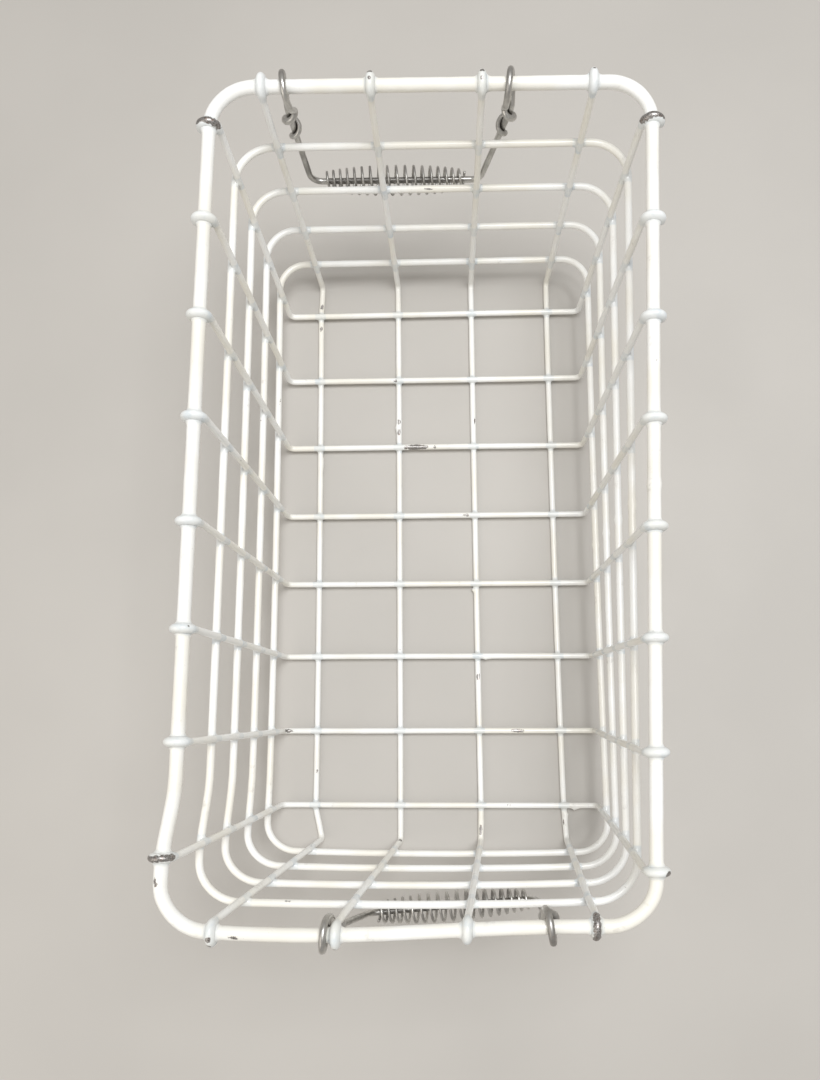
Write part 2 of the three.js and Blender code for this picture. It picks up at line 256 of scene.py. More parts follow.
class BasketFinish(bpy.types.PropertyGroup):
    """Colours of the coating, the steel and the stage."""

    coat_white: tone("Coating white", "Fresh coating", (0.90, 0.905, 0.89))
    coat_cream: tone("Coating cream", "Coating yellowed with age", (0.83, 0.80, 0.71))
    # Partly the coating pulled thin over a weld, partly a painted reflection of the sky on the flattened
    # weld.
    coat_thin_and_sky_reflection: tone("Thin coating", "Coating pulled thin over a weld", (0.58, 0.65, 0.70))
    # Real dirt specks, smudges and grime round the chips, and also painted shade in the crevices where
    # wires meet.
    grime_and_crevice_shade: tone("Grime", "Dirt in the corners and round chips", (0.16, 0.13, 0.10))
    bare_steel: tone("Bare steel", "Steel under the chips", (0.55, 0.53, 0.52))
    handle_steel: tone("Handle steel", "Steel of the handles", (0.62, 0.61, 0.585))
    # Real tarnish, and also painted shade between handle strands and on the bar inside the grips.
    tarnish_and_shade: tone("Tarnish", "Darkened steel", (0.13, 0.12, 0.11))
    rust: tone("Rust", "Rust freckles", (0.20, 0.085, 0.035))
    floor: tone("Floor", "Stage floor", (0.50, 0.48, 0.45))


class BasketStage(bpy.types.PropertyGroup):
    """The camera and the lights."""

    lens: bpy.props.FloatProperty(
        name="Lens", description="Camera focal length", default=28.92, subtype="DISTANCE_CAMERA"
    )
    shift: bpy.props.FloatVectorProperty(
        name="Shift", description="Camera shift, across and up", default=(-0.0541, 0.0954), size=2
    )
    position: bpy.props.FloatVectorProperty(
        name="Camera position",
        description="Where the camera stands",
        default=(0.0265, -0.1191, 0.5662),
        subtype="TRANSLATION",
        unit="LENGTH",
    )
    tilt: amount("Tilt", "Camera tilt from straight down", 0.1047, "ROTATION")
    roll: amount("Roll", "Camera roll to the side", 0.0117, "ROTATION")
    heading: amount("Heading", "Camera turn about the vertical", -0.0079, "ROTATION")
    key_power: amount("Key light", "Power of the key light", 19.0, "POWER")
    fill_power: amount("Fill light", "Power of the fill light", 4.0, "POWER")
    sky: amount("Sky", "Strength of the even light all round", 0.46)


# ---- shaders


class Signal:
    """A shader socket that is added, scaled and compared like a number."""

    def __init__(self, finish, socket):
        self.finish = finish
        self.socket = socket

    def math(self, operation, *terms):
        return self.finish.node("ShaderNodeMath", {"operation": operation}, dict(enumerate(terms)))

    def __add__(self, other):
        return self.math("ADD", self, other)

    __radd__ = __add__

    def __sub__(self, other):
        return self.math("SUBTRACT", self, other)

    def __rsub__(self, other):
        return self.math("SUBTRACT", other, self)

    def __mul__(self, other):
        return self.math("MULTIPLY", self, other)

    __rmul__ = __mul__

    def rise(self, low, high):
        """0 below low, 1 above high, and a smooth step between."""
        settings = {"interpolation_type": "SMOOTHSTEP"}
        return self.finish.node(
            "ShaderNodeMapRange", settings, {"Value": self, "From Min": low, "From Max": high}
        )


# A Mix node's colour sockets, which share their names with its number and vector sockets.
MIX_FIRST = 6
MIX_SECOND = 7
MIX_RESULT = 2


class Finish:
    """A material built from expressions."""

    def __init__(self, name):
        self.material = bpy.data.materials.new(name)
        self.material.use_nodes = True
        self.tree = self.material.node_tree
        self.tree.nodes.clear()
        self.place = self.node("ShaderNodeTexCoord", {}, {}, "Object")

    def node(self, kind, settings, inputs, output=0):
        made = self.tree.nodes.new(kind)
        for key, value in settings.items():
            setattr(made, key, value)
        for key, value in inputs.items():
            if isinstance(value, Signal):
                self.tree.links.new(value.socket, made.inputs[key])
            else:
                made.inputs[key].default_value = value
        return Signal(self, made.outputs[output]) if made.outputs else None

    def noise(self, scale, detail=2.0, roughness=0.5, at=None):
        inputs = {"Vector": at or self.place, "Scale": scale, "Detail": detail, "Roughness": roughness}
        return self.node("ShaderNodeTexNoise", {}, inputs)

    def attribute(self, name):
        return self.node("ShaderNodeAttribute", {"attribute_name": name}, {}, "Fac")

    def blend(self, share, first, second):
        """A colour between two, each a plain colour or a signal."""
        ends = [one if isinstance(one, Signal) else (*one, 1.0) for one in (first, second)]
        inputs = {"Factor": share, MIX_FIRST: ends[0], MIX_SECOND: ends[1]}
        return self.node("ShaderNodeMix", {"data_type": "RGBA"}, inputs, MIX_RESULT)

    def bump(self, height, distance, strength=1.0, normal=None):
        inputs = {"Height": height, "Distance": distance, "Strength": strength}
        if normal:
            inputs["Normal"] = normal
        return self.node("ShaderNodeBump", {}, inputs)

    def surface(self, inputs):
        shader = self.node("ShaderNodeBsdfPrincipled", {}, inputs)
        self.node("ShaderNodeOutputMaterial", {}, {"Surface": shader})
        return self.material


def coating_finish(look):
    """Thick white dip, creamy in places, thin over the welds with a painted sky reflection there, painted
    shade in the crevices where wires meet, and chipped to steel.
    """
    finish = Finish("dipped coating")
    age = finish.noise(22.0, 3.0).rise(0.38, 0.66)
    blotch = finish.noise(160.0, 3.0).rise(0.45, 0.75)
    speck = finish.noise(1500.0, 2.0).rise(0.70, 0.78)
    smudge = finish.noise(75.0, 4.0, 0.65).rise(0.60, 0.72) * finish.noise(500.0, 3.0).rise(0.35, 0.65)
    rough = finish.noise(420.0, 4.0, 0.65)
    ragged = finish.noise(900.0, 3.0, 0.6)
    crossing = finish.attribute("crossing")
    bare = finish.attribute("bare") + (rough - 0.5) * 1.2 + (ragged - 0.5) * 0.7
    chip = bare.rise(0.49, 0.53)
    chip_edge = bare.rise(0.36, 0.47) * (1 - chip)
    # Over the welds: thin coating, and a painted sky reflection in bluish grey.
    thin_and_sky_reflection = crossing.rise(0.35, 0.95) * (0.35 + blotch * 0.5)
    # Painted shade in the crevices where wires meet, broken up by noise.
    crevice_shade_mask = finish.attribute("crevice") * finish.noise(300.0, 3.0).rise(0.35, 0.7)
    coat = finish.blend(age * 0.75, look.coat_white, look.coat_cream)
    coat = finish.blend(blotch * 0.12, coat, look.coat_cream)
    coat = finish.blend(thin_and_sky_reflection * 0.9, coat, look.coat_thin_and_sky_reflection)
    for share in (crevice_shade_mask * 0.35, speck * 0.35, smudge * 0.22, chip_edge * 0.55):
        coat = finish.blend(share, coat, look.grime_and_crevice_shade)
    scratch = finish.noise(2600.0, 2.0)
    steel = finish.blend(scratch.rise(0.3, 0.7), look.tarnish_and_shade, look.bare_steel)
    steel = finish.blend(finish.noise(700.0, 2.0).rise(0.55, 0.70) * 0.45, steel, look.rust)
    runs = finish.bump(finish.noise(120.0, 1.0), 0.5 * MM, 0.35)
    skin = finish.bump(finish.noise(650.0, 2.0), 0.06 * MM, 0.6, runs)
    edges = finish.bump(1 - chip, 0.16 * MM, 0.9, skin)
    return finish.surface(
        {
            "Base Color": finish.blend(chip, coat, steel),
            "Roughness": 0.24 + rough * 0.16 + chip * 0.1 + crevice_shade_mask * 0.25,
            "Metallic": chip * 0.95,
            "Normal": edges,
            "Coat Weight": 0.25,
            "Coat Roughness": 0.12,
        }
    )


def steel_finish(look):
    """Drawn steel wire: streaks along it, tarnish in patches, painted shade in the low places between
    strands and inside the grips, and a few rust freckles.
    """
    finish = Finish("drawn steel")
    along = finish.attribute("along")
    around = finish.attribute("around")
    grain_place = finish.node("ShaderNodeCombineXYZ", {}, {0: along * 0.06, 1: around * 2.2, 2: 0.0})
    grain = finish.noise(900.0, 3.0, 0.6, at=grain_place)
    dull = finish.noise(70.0, 4.0, 0.6).rise(0.42, 0.68)
    freckle = finish.noise(950.0, 3.0, 0.7).rise(0.63, 0.70) * finish.noise(45.0, 2.0).rise(0.46, 0.62)
    # Painted shade where strands lie close and on the bar inside the grip, in the tarnish colour.
    painted_hollow_shade = finish.attribute("crevice")
    metal = look.handle_steel
    for share in (dull * 0.5, grain.rise(0.35, 0.8) * 0.25, painted_hollow_shade * 0.75):
        metal = finish.blend(share, metal, look.tarnish_and_shade)
    metal = finish.blend(freckle * 0.7, metal, look.rust)
    pits = finish.bump(finish.noise(1400.0, 3.0), 0.05 * MM, 0.5)
    streaks = finish.bump(grain, 0.04 * MM, 0.6, pits)
    return finish.surface(
        {
            "Base Color": metal,
            "Roughness": 0.22 + dull * 0.2 + grain * 0.12 + freckle * 0.3,
            "Metallic": 1.0 - freckle * 0.8,
            "Normal": streaks,
        }
    )


def floor_finish(look):
    """A plain pale sheet with a very slight mottle."""
    finish = Finish("pale floor")
    mottle = finish.noise(6.0, 3.0).rise(0.3, 0.7)
    darker = tuple(0.95 * channel for channel in look.floor)
    return finish.surface(
        {
            "Base Color": finish.blend(mottle, look.floor, darker),
            "Roughness": 0.6 + mottle * 0.05,
            "Normal": finish.bump(finish.noise(400.0, 2.0), 0.05 * MM, 0.25),
        }
    )


MADE = {}


def shared_finish(make):
    """A finish made once and used by every piece that has it."""
    if make not in MADE:
        MADE[make] = make(bpy.context.scene.basket_finish)
    return MADE[make]


# ---- wire axes


def origin_shift():
    """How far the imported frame's origin is from the basket's own middle."""
    shifts = []
    for joint in frame["joints"]:
        end = joint["name"].removesuffix("_handle_swing")
        if end in HANDLES:
            shifts.append(np.array(joint["pos_m"]) - np.array(HANDLES[end]["at"]) * MM)
    return np.mean(shifts, axis=0)


def corner(x, y, z, bend=0.0):
    return np.array((x, y, z), float), bend


def unit(vector):
    return vector / np.linalg.norm(vector)


def travelled(points):
    """How far along the line each point is."""
    return np.concatenate(([0.0], np.cumsum(np.linalg.norm(np.diff(points, axis=0), axis=1))))


def search_tree(points):
    """A tree that finds the points nearest a place by their numbers."""
    tree = KDTree(len(points))
    for number, point in enumerate(points):
        tree.insert(point, number)
    tree.balance()
    return tree


ARC_STEP = math.radians(7)


def bend_line(corners):
    """The points of a line with its corners bent to their radii."""
    points = []
    for number, (at, bend) in enumerate(corners):
        if not bend:
            points.append(at)
            continue
        arriving = unit(at - corners[number - 1][0])
        leaving = unit(corners[(number + 1) % len(corners)][0] - at)
        turn = math.acos(np.clip(arriving @ leaving, -1, 1))
        centre = at + unit(leaving - arriving) * bend / math.cos(turn / 2)
        start = at - arriving * bend * math.tan(turn / 2) - centre
        axis = unit(np.cross(arriving, leaving))
        steps = max(2, math.ceil(turn / ARC_STEP))
        for step in range(steps + 1):
            angle = turn * step / steps
            spun = start * math.cos(angle) + np.cross(axis, start) * math.sin(angle)
            points.append(centre + spun)
    return np.array(points)


SHORTEST_STEP = 1e-6


def resample(points, spacing):
    """The same line with a point about every spacing millimetres."""
    lengths = np.linalg.norm(np.diff(points, axis=0), axis=1)
    points = points[np.concatenate(([True], lengths > SHORTEST_STEP))]
    reach = travelled(points)
    stops = np.linspace(0.0, reach[-1], max(2, round(reach[-1] / spacing)) + 1)
    return np.stack([np.interp(stops, reach, points[:, axis]) for axis in range(3)], axis=1)


def smooth_step(value, low, high):
    share = np.clip((value - low) / (high - low), 0.0, 1.0)
    return share * share * (3 - 2 * share)


def knock(points):
    """The knocks of a long life: the rim leans into a rhombus with one corner pushed out, the floor
    tapers, draws in at its waist and sits turned, and the near end bows."""
    x, y, z = points.T
    rise = np.minimum(1.0, (z - cross_level()) / (RIM_LEVEL - cross_level()))
    low = 1 - rise
    along = smooth_step(-y, BULGE_START, BULGE_START + BULGE_LENGTH)
    outward = smooth_step(-x, RIM_HALF_WIDTH / 2, RIM_HALF_WIDTH - RIM_CORNER / 2)
    share = y / FLOOR_HALF_LENGTH
    taper = 1 - low * (FLOOR_TAPER * share + FLOOR_WAIST * np.maximum(0, 1 - share**2))
    bulge = CORNER_BULGE * along * outward * rise
    moved_x = x * taper - FLOOR_TURN * low * y + RIM_SKEW * rise * y - bulge
    across = x / RIM_HALF_WIDTH
    top = smooth_step(z, RING_TOP_LEVEL, RIM_LEVEL)
    bow = NEAR_BOW * (1 - across**2) - NEAR_PUSH - top * NEAR_RIM_PUSH
    bow -= top * NEAR_RIM_WAVE * np.sin(math.pi * across)
    reach = FLOOR_HALF_LENGTH + (RIM_HALF_LENGTH - FLOOR_HALF_LENGTH) * rise
    near = smooth_step(-y / reach, NEAR_START, 1)
    moved_y = y + FLOOR_FAN * low * x * share - near * bow
    return np.stack([moved_x, moved_y, z], axis=1)


def gauge(name):
    """A wire's diameter in millimetres."""
    return getattr(bpy.context.scene.basket_sizes, name) / MM


def cross_level():
    """The cross wires lie on the lengthwise ones, pressed a little into them by the welds."""
    return LONG_LEVEL + gauge("wall_wire") - WELD_SET_DOWN


def hook_radius():
    return (gauge("rim_rod") + gauge("wall_wire")) / 2 - HOOK_SET_DOWN


def ring_standoff():
    return (gauge("ring_wire") + gauge("wall_wire")) / 2 - WELD_SET_DOWN


def wall_reach(level, floor_reach, floor_level, rim_reach):
    """How far out a wall wire's axis is at a level, between its floor bend and its hook."""
    share = (level - floor_level) / (RIM_LEVEL - HOOK_STUB - floor_level)
    return floor_reach + share * (rim_reach - hook_radius() - floor_reach)


def hoop_axis(half_width, half_length, bend, level):
    """A closed rounded rectangle; its first point is at the butt weld."""
    corners = [corner(half_width, 0, level)]
    for x, y in ((1, 1), (-1, 1), (-1, -1), (1, -1)):
        corners.append(corner(x * half_width, y * half_length, level, bend))
    return bend_line(corners + corners[:1])


def wall_run(out, floor_reach, floor_level, rim, floor_along, hook_along, turned):
    """One wall of an upright wire, from its floor bend up and over the rim."""
    reach, straight_half = rim
    beyond = max(0.0, abs(hook_along) - straight_half)
    reach -= RIM_CORNER - math.sqrt(RIM_CORNER**2 - beyond**2)
    inner = out * (reach - hook_radius())
    outer = out * (reach + hook_radius())
    crest = RIM_LEVEL + hook_radius()

    def place(across, along, up, bend=0.0):
        return corner(along, across, up, bend) if turned else corner(across, along, up, bend)

    return [
        place(out * floor_reach, floor_along, floor_level, FLOOR_BEND),
        place(inner, hook_along, RIM_LEVEL - HOOK_STUB, WALL_BEND),
        place(inner, hook_along, crest, hook_radius()),
        place(outer, hook_along, crest, hook_radius()),
        place(outer, hook_along, RIM_LEVEL - HOOK_TAIL),
    ]


def cross_axis(number):
    rim = (RIM_HALF_WIDTH, RIM_HALF_LENGTH - RIM_CORNER)
    runs = []
    for side, out in (("left", -1), ("right", 1)):
        floor_along = CROSS_FLOOR_PLACES[number]
        hook_along = CROSS_HOOK_PLACES[side][number]
        run = wall_run(out, FLOOR_HALF_WIDTH, cross_level(), rim, floor_along, hook_along, False)
        runs.append(run)
    return bend_line(runs[0][::-1] + runs[1])


def long_axis(number):
    rim = (RIM_HALF_LENGTH, RIM_HALF_WIDTH - RIM_CORNER)
    runs = []
    for side, out in (("near", -1), ("far", 1)):
        place = LONG_FLOOR_PLACES[number]
        kink = LONG_BEND_KINKS[side][number]
        hook_along = LONG_HOOK_PLACES[side][number]
        run = wall_run(out, FLOOR_HALF_LENGTH, LONG_LEVEL, rim, place + kink, hook_along, True)
        if kink:
            run.insert(0, corner(place, out * KINK_START, LONG_LEVEL, KINK_BEND))
        runs.append(run)
    return bend_line(runs[0][::-1] + runs[1])


def ring_axis(number):
    level = RING_TOP_LEVEL - number * RING_STEP
    width = wall_reach(level, FLOOR_HALF_WIDTH, cross_level(), RIM_HALF_WIDTH)
    length = wall_reach(level, FLOOR_HALF_LENGTH, LONG_LEVEL, RIM_HALF_LENGTH)
    bend = FLOOR_CORNER + (RIM_CORNER - FLOOR_CORNER) * level / RIM_LEVEL
    return hoop_axis(width + ring_standoff(), length + ring_standoff(), bend, level)


AXIS_STEP = 0.5
FRAME_SEED = 17
WANDER_WAVES = (2, 3, 5)
# The stretch from each end, in metres, over which an open wire starts to wander.
WANDER_START = (0.03, 0.07)
SIZE_SHARE = (0.3, 1.0)
WANDER_DRAWS = 1
WEAR_DRAWS = 3
DIP_DRAWS = 7
COATED = {}


def own_random(name, kind):
    """A wire's own seeded random numbers, one kind each for its wander, its wear and its dip."""
    return np.random.default_rng(FRAME_SEED * kind + sum(map(ord, name)))


class CoatedWire:
    """One wire of the welded frame: its axis in metres and how its section is turned."""

    def __init__(self, name, axis, part, side, closed):
        self.name = name
        self.radius = gauge(part) / 2 * MM
        self.side = np.array(side, float)
        self.closed = closed
        self.axis = knock(resample(axis, AXIS_STEP)) * MM + origin_shift()
        self.stray()

    def stray(self):
        """Wires bent by hand wander a little, level with the surface they lie in."""
        rng = own_random(self.name, WANDER_DRAWS)
        reach = np.arange(len(self.axis)) * AXIS_STEP * MM
        total = reach[-1]
        sway = np.zeros(len(self.axis))
        for waves in WANDER_WAVES:
            phase = rng.uniform(0, 2 * math.pi)
            sway += rng.uniform(*SIZE_SHARE) / waves * np.sin(2 * math.pi * waves * reach / total + phase)
        sway *= bpy.context.scene.basket_sizes.wander
        if self.closed:
            self.axis[:, 2] += sway
            return
        ends = smooth_step(reach, *WANDER_START) * smooth_step(total - reach, *WANDER_START)
        self.axis += (sway * ends)[:, None] * self.side


def coated_wires():
    """Every wire of the welded frame by name, worked out once."""
    if not COATED:
        up = (0, 0, 1)
        rim_axis = hoop_axis(RIM_HALF_WIDTH, RIM_HALF_LENGTH, RIM_CORNER, RIM_LEVEL)
        COATED["rim_rod"] = CoatedWire("rim_rod", rim_axis, "rim_rod", up, True)
        for kind, count, axis, part, side in (
            ("side_ring", RING_COUNT, ring_axis, "ring_wire", up),
            ("cross_wire", len(CROSS_FLOOR_PLACES), cross_axis, "wall_wire", (0, 1, 0)),
            ("long_wire", len(LONG_FLOOR_PLACES), long_axis, "wall_wire", (1, 0, 0)),
        ):
            for number in range(count):
                name = f"{kind}_{number + 1}"
                COATED[name] = CoatedWire(name, axis(number), part, side, side == up)
    return COATED


# ---- wear


FLOOR_DEPTH = 0.02


def crossing_place(wire, other, shift):
    """The axis point shift millimetres past where a floor wire crosses another, and its run
    towards the right or the far end."""
    on_floor = np.where(wire.axis[:, 2] < FLOOR_DEPTH)[0]
    tree = search_tree(other.axis)
    crossing = min(on_floor, key=lambda index: tree.find(wire.axis[index])[2])
    place = int(np.clip(crossing + shift / AXIS_STEP, 1, len(wire.axis) - 2))
    return wire.axis[place], unit(wire.axis[place + 1] - wire.axis[place - 1])


def floor_chips(wire):
    """Chips on the floor, on the side that faces up and out of the basket."""
    spots = []
    for (owner, other), chips in FLOOR_CHIPS.items():
        if owner != wire.name:
            continue
        for shift, radius in chips:
            place, run = crossing_place(wire, coated_wires()[other], shift)
            lean = OUT_OF_BASKET - place
            lean -= (run @ lean) * run
            spots.append((place + unit(lean) * wire.radius, radius * MM))
    return spots


def rim_chips(rim):
    spots = []
    for across, along, radius in RIM_CHIPS:
        knocked = knock(np.array([(across, along, RIM_LEVEL)]))[0] * MM + origin_shift()
        place = rim.axis[np.argmin(np.linalg.norm(rim.axis - knocked, axis=1))]
        way = unit(knocked - place + (0, 0, rim.radius))
        spots.append((place + way * rim.radius, radius * MM))
    return spots


def hook_wear(wire):
    """Bare patches over the crests of a wire's two hooks."""
    spots = []
    hook_reach = hook_radius() * MM
    middle = len(wire.axis) // 2
    for side, out in HOOK_SIDES.items():
        patches = SPOTTED_HOOKS.get((wire.name, side), [])
        if (wire.name, side) in RUBBED_HOOKS:
            patches = [(lean, RUBBED_RADIUS) for lean in RUBBED_LEANS]
        half = wire.axis[:middle] if out < 0 else wire.axis[middle:]
        top = half[np.argmax(half[:, 2])]
        outward = unit((top - half[-1 if out < 0 else 0]) * (1, 1, 0))
        heart = top - (0, 0, hook_reach)
        for lean, radius in patches:
            turn = math.radians(lean)
            way = math.sin(turn) * outward + math.cos(turn) * np.array((0, 0, 1))
            spots.append((heart + (hook_reach + wire.radius) * way, radius * MM))
    return spots


def stray_chips(wire):
    spots = []
    rng = own_random(wire.name, WEAR_DRAWS)
    for _ in range(STRAY_CHIPS):
        index = rng.integers(len(wire.axis))
        angle = rng.uniform(0, 2 * math.pi)
        away = np.array((math.cos(angle), math.sin(angle), 1))
        spots.append((wire.axis[index] + unit(away) * wire.radius, rng.uniform(*STRAY_CHIP_RADII) * MM))
    return spots


def wear_spots(wire):
    """The centres and radii of a coated wire's bare places."""
    spots = floor_chips(wire)
    if wire.name == "rim_rod":
        return spots + rim_chips(wire)
    if not wire.closed:
        spots += hook_wear(wire)
    return spots + stray_chips(wire)


# ---- meshes


def tangents_of(points, closed):
    if closed:
        run = np.roll(points, -1, axis=0) - np.roll(points, 1, axis=0)
    else:
        run = np.gradient(points, axis=0)
    return run / np.linalg.norm(run, axis=1)[:, None]


def turned_frames(points, side, closed):
    """Section directions that keep one of them turned towards side."""
    tangents = tangents_of(points, closed)
    across = side - (tangents @ side)[:, None] * tangents
    across /= np.linalg.norm(across, axis=1)[:, None]
    return np.cross(across, tangents), across


FIRST_SIDE = (0.0, 1.0, 0.3)


def carried_frames(points):
    """Section directions carried along a free curve without twist."""
    tangents = tangents_of(points, False)
    normals = [unit(np.cross(tangents[0], FIRST_SIDE))]
    for tangent in tangents[1:]:
        normals.append(unit(normals[-1] - (normals[-1] @ tangent) * tangent))
    normals = np.array(normals)
    return normals, np.cross(tangents, normals)


def tube_faces(rings, sides, closed):
    """Quads between rings of vertices."""
    ring = np.arange(rings if closed else rings - 1)
    side = np.arange(sides)
    here = (ring[:, None] * sides + side).ravel()
    along = (ring[:, None] * sides + (side + 1) % sides).ravel()
    after = ((ring + 1) % rings)[:, None] * sides
    return np.stack([here, along, (after + (side + 1) % sides).ravel(), (after + side).ravel()], axis=1)


CAP_RINGS = 4
# How far short of the axis a cap's last ring stays, in radians, so that its end face is small.
CAP_LIP = 0.06


def section_spokes(normals, across, sides):
    """The directions from each station's axis point to the vertices round it."""
    angles = 2 * math.pi * np.arange(sides) / sides
    return (
        np.cos(angles)[None, :, None] * normals[:, None, :]
        + np.sin(angles)[None, :, None] * across[:, None, :]
    )


def capped(values):
    """A row for each station, with the end rows repeated for the rings of the caps."""
    head = np.repeat(values[:1], CAP_RINGS, 0)
    tail = np.repeat(values[-1:], CAP_RINGS, 0)
    return np.concatenate([head, values, tail])


def add_caps(points, radii, frames, swell, bulge):
    """Extra stations that round off both ends of a wire."""
    normals, across = frames
    turns = (np.arange(CAP_RINGS) + 1) / CAP_RINGS * math.pi / 2
    turns[-1] -= CAP_LIP

    def cap(end, way):
        centres = points[end] + np.outer(radii[end] * bulge * np.sin(turns), way)
        return centres, radii[end] * np.cos(turns)

    head, head_radii = cap(0, -np.cross(normals[0], across[0]))
    tail, tail_radii = cap(-1, np.cross(normals[-1], across[-1]))
    points = np.concatenate([head[::-1], points, tail])
    radii = np.concatenate([head_radii[::-1], radii, tail_radii])
    blank = np.zeros((CAP_RINGS, swell.shape[1]))
    return points, radii, (capped(normals), capped(across)), np.concatenate([blank, swell, blank])


def build_tube(points, radii, frames, swell, closed, cap_bulge):
    """The vertices and faces of a tube with round ends, swollen by its own amount at each vertex."""
    sides = swell.shape[1]
    if not closed:
        points, radii, frames, swell = add_caps(points, radii, frames, swell, cap_bulge)
    reach = (radii[:, None] + swell)[:, :, None]
    vertices = points[:, None, :] + reach * section_spokes(*frames, sides)
    return vertices.reshape(-1, 3), tube_faces(len(points), sides, closed)


def make_piece(name, vertices, faces, sides, closed, attributes, material):
    """A mesh object; open tubes are closed by one face at each end."""
    mesh = bpy.data.meshes.new(name)
    polygons = faces.tolist()
    if not closed:
        polygons.append(range(sides)[::-1])
        polygons.append(range(len(vertices) - sides, len(vertices)))
    mesh.from_pydata(vertices.tolist(), [], polygons)
    for key, values in attributes.items():
        layer = mesh.attributes.new(key, "FLOAT", "POINT")
        layer.data.foreach_set("value", np.asarray(values, np.float32))
    mesh.materials.append(material)
    mesh.polygons.foreach_set("use_smooth", np.ones(len(mesh.polygons), bool))
    mesh.update()
    piece = bpy.data.objects.new(name, mesh)
    bpy.context.scene.collection.objects.link(piece)
    return piece


def mount_piece(piece, node):
    """Ties a piece to the body of the node that it stands for, and hides that node."""
    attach(piece, frame["nodes"][node]["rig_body"])
    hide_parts(node)


# How far past touching, in millimetres, wires still share their coating.
WATCH_REACH = 3.4
# Every second axis point is enough to find the wires near another.
TREE_STEP = 2


def near_wires(wire, wires):
    """For each axis point, the other wires that pass close enough to share their coating."""
    others = [other for other in wires.values() if other is not wire]
    owners = [(other.name, index) for other in others for index in range(0, len(other.axis), TREE_STEP)]
    tree = search_tree([wires[owner].axis[index] for owner, index in owners])
    watched = wire.radius + WATCH_REACH * MM
    thickest = max(other.radius for other in wires.values())
    close = [set() for _ in wire.axis]
    for index in range(0, len(wire.axis), TREE_STEP):
        for _, number, distance in tree.find_range(wire.axis[index], watched + thickest):
            if distance < watched + wires[owners[number][0]].radius:
                close[index].add(owners[number])
        if index + 1 < len(close):
            close[index + 1] = close[index]
    return close


# The most axis steps between two kept stations, near a crossing, in a bend and on a straight run.
CROSSING_GAP = 1
BEND_GAP = 2
STRAIGHT_GAP = 7
# The turn for each millimetre, in radians, above which a wire counts as bent.
BEND_TURN = 0.004


def pick_stations(wire, close):
    """Axis points to keep: every one near a crossing, some in bends and few on straight runs."""
    tangents = tangents_of(wire.axis, wire.closed)
    bending = np.linalg.norm(np.gradient(tangents, axis=0), axis=1) / AXIS_STEP > BEND_TURN
    kept = [0]
    for index in range(1, len(wire.axis)):
        gap = CROSSING_GAP if close[index] else BEND_GAP if bending[index] else STRAIGHT_GAP
        if index - kept[-1] >= gap or (close[index] and not close[index - 1]):
            kept.append(index)
    if not wire.closed and kept[-1] != len(wire.axis) - 1:
        kept.append(len(wire.axis) - 1)
    if wire.closed and kept[-1] == len(wire.axis) - 1:
        kept.pop()
    return np.array(kept)


TINY_SQUARE = 1e-18


def distance_to_line(points, line):
    """The distance from each point to a polyline."""
    starts = line[:-1]
    runs = np.diff(line, axis=0)
    squares = np.maximum((runs**2).sum(1), TINY_SQUARE)
    away = points[:, None, :] - starts[None]
    share = np.clip((away * runs[None]).sum(2) / squares[None], 0, 1)
    gap = away - share[:, :, None] * runs[None]
    return np.sqrt((gap**2).sum(2)).min(1)


# The coating's fillet is found in a few steps, and stands out by at most this share of its reach.
FILLET_STEPS = 5
FILLET_LIMIT = 0.27
# How far from the other wire, in millimetres, shade is painted in the crevice, and the coating is thin
# with a painted sky reflection.
CREVICE_SHADE_REACH = 1.6
THIN_AND_REFLECTION_REACH = 1.8
# How far round a crossing, in millimetres, and how many axis points further, the other wire counts.
CROSSING_REACH = 8
LINE_MARGIN = 4
# The most stations, and axis points, that a crossing may skip and still be one crossing.
ROW_BREAK = 2
LINE_BREAK = 8


def fillet_out(starts, ways, line, radius, fillet, out):
    """How far out along ways the smoothly blended surface of two wires is."""
    for _ in range(FILLET_STEPS):
        gap = distance_to_line(starts + ways * out[:, None], line) - radius
        mixed = np.maximum(fillet - np.abs(out - gap), 0) / fillet
        level = np.minimum(out, gap) - mixed * mixed * fillet / 4
        out = np.clip(out - level, 0, fillet * FILLET_LIMIT)
    return out


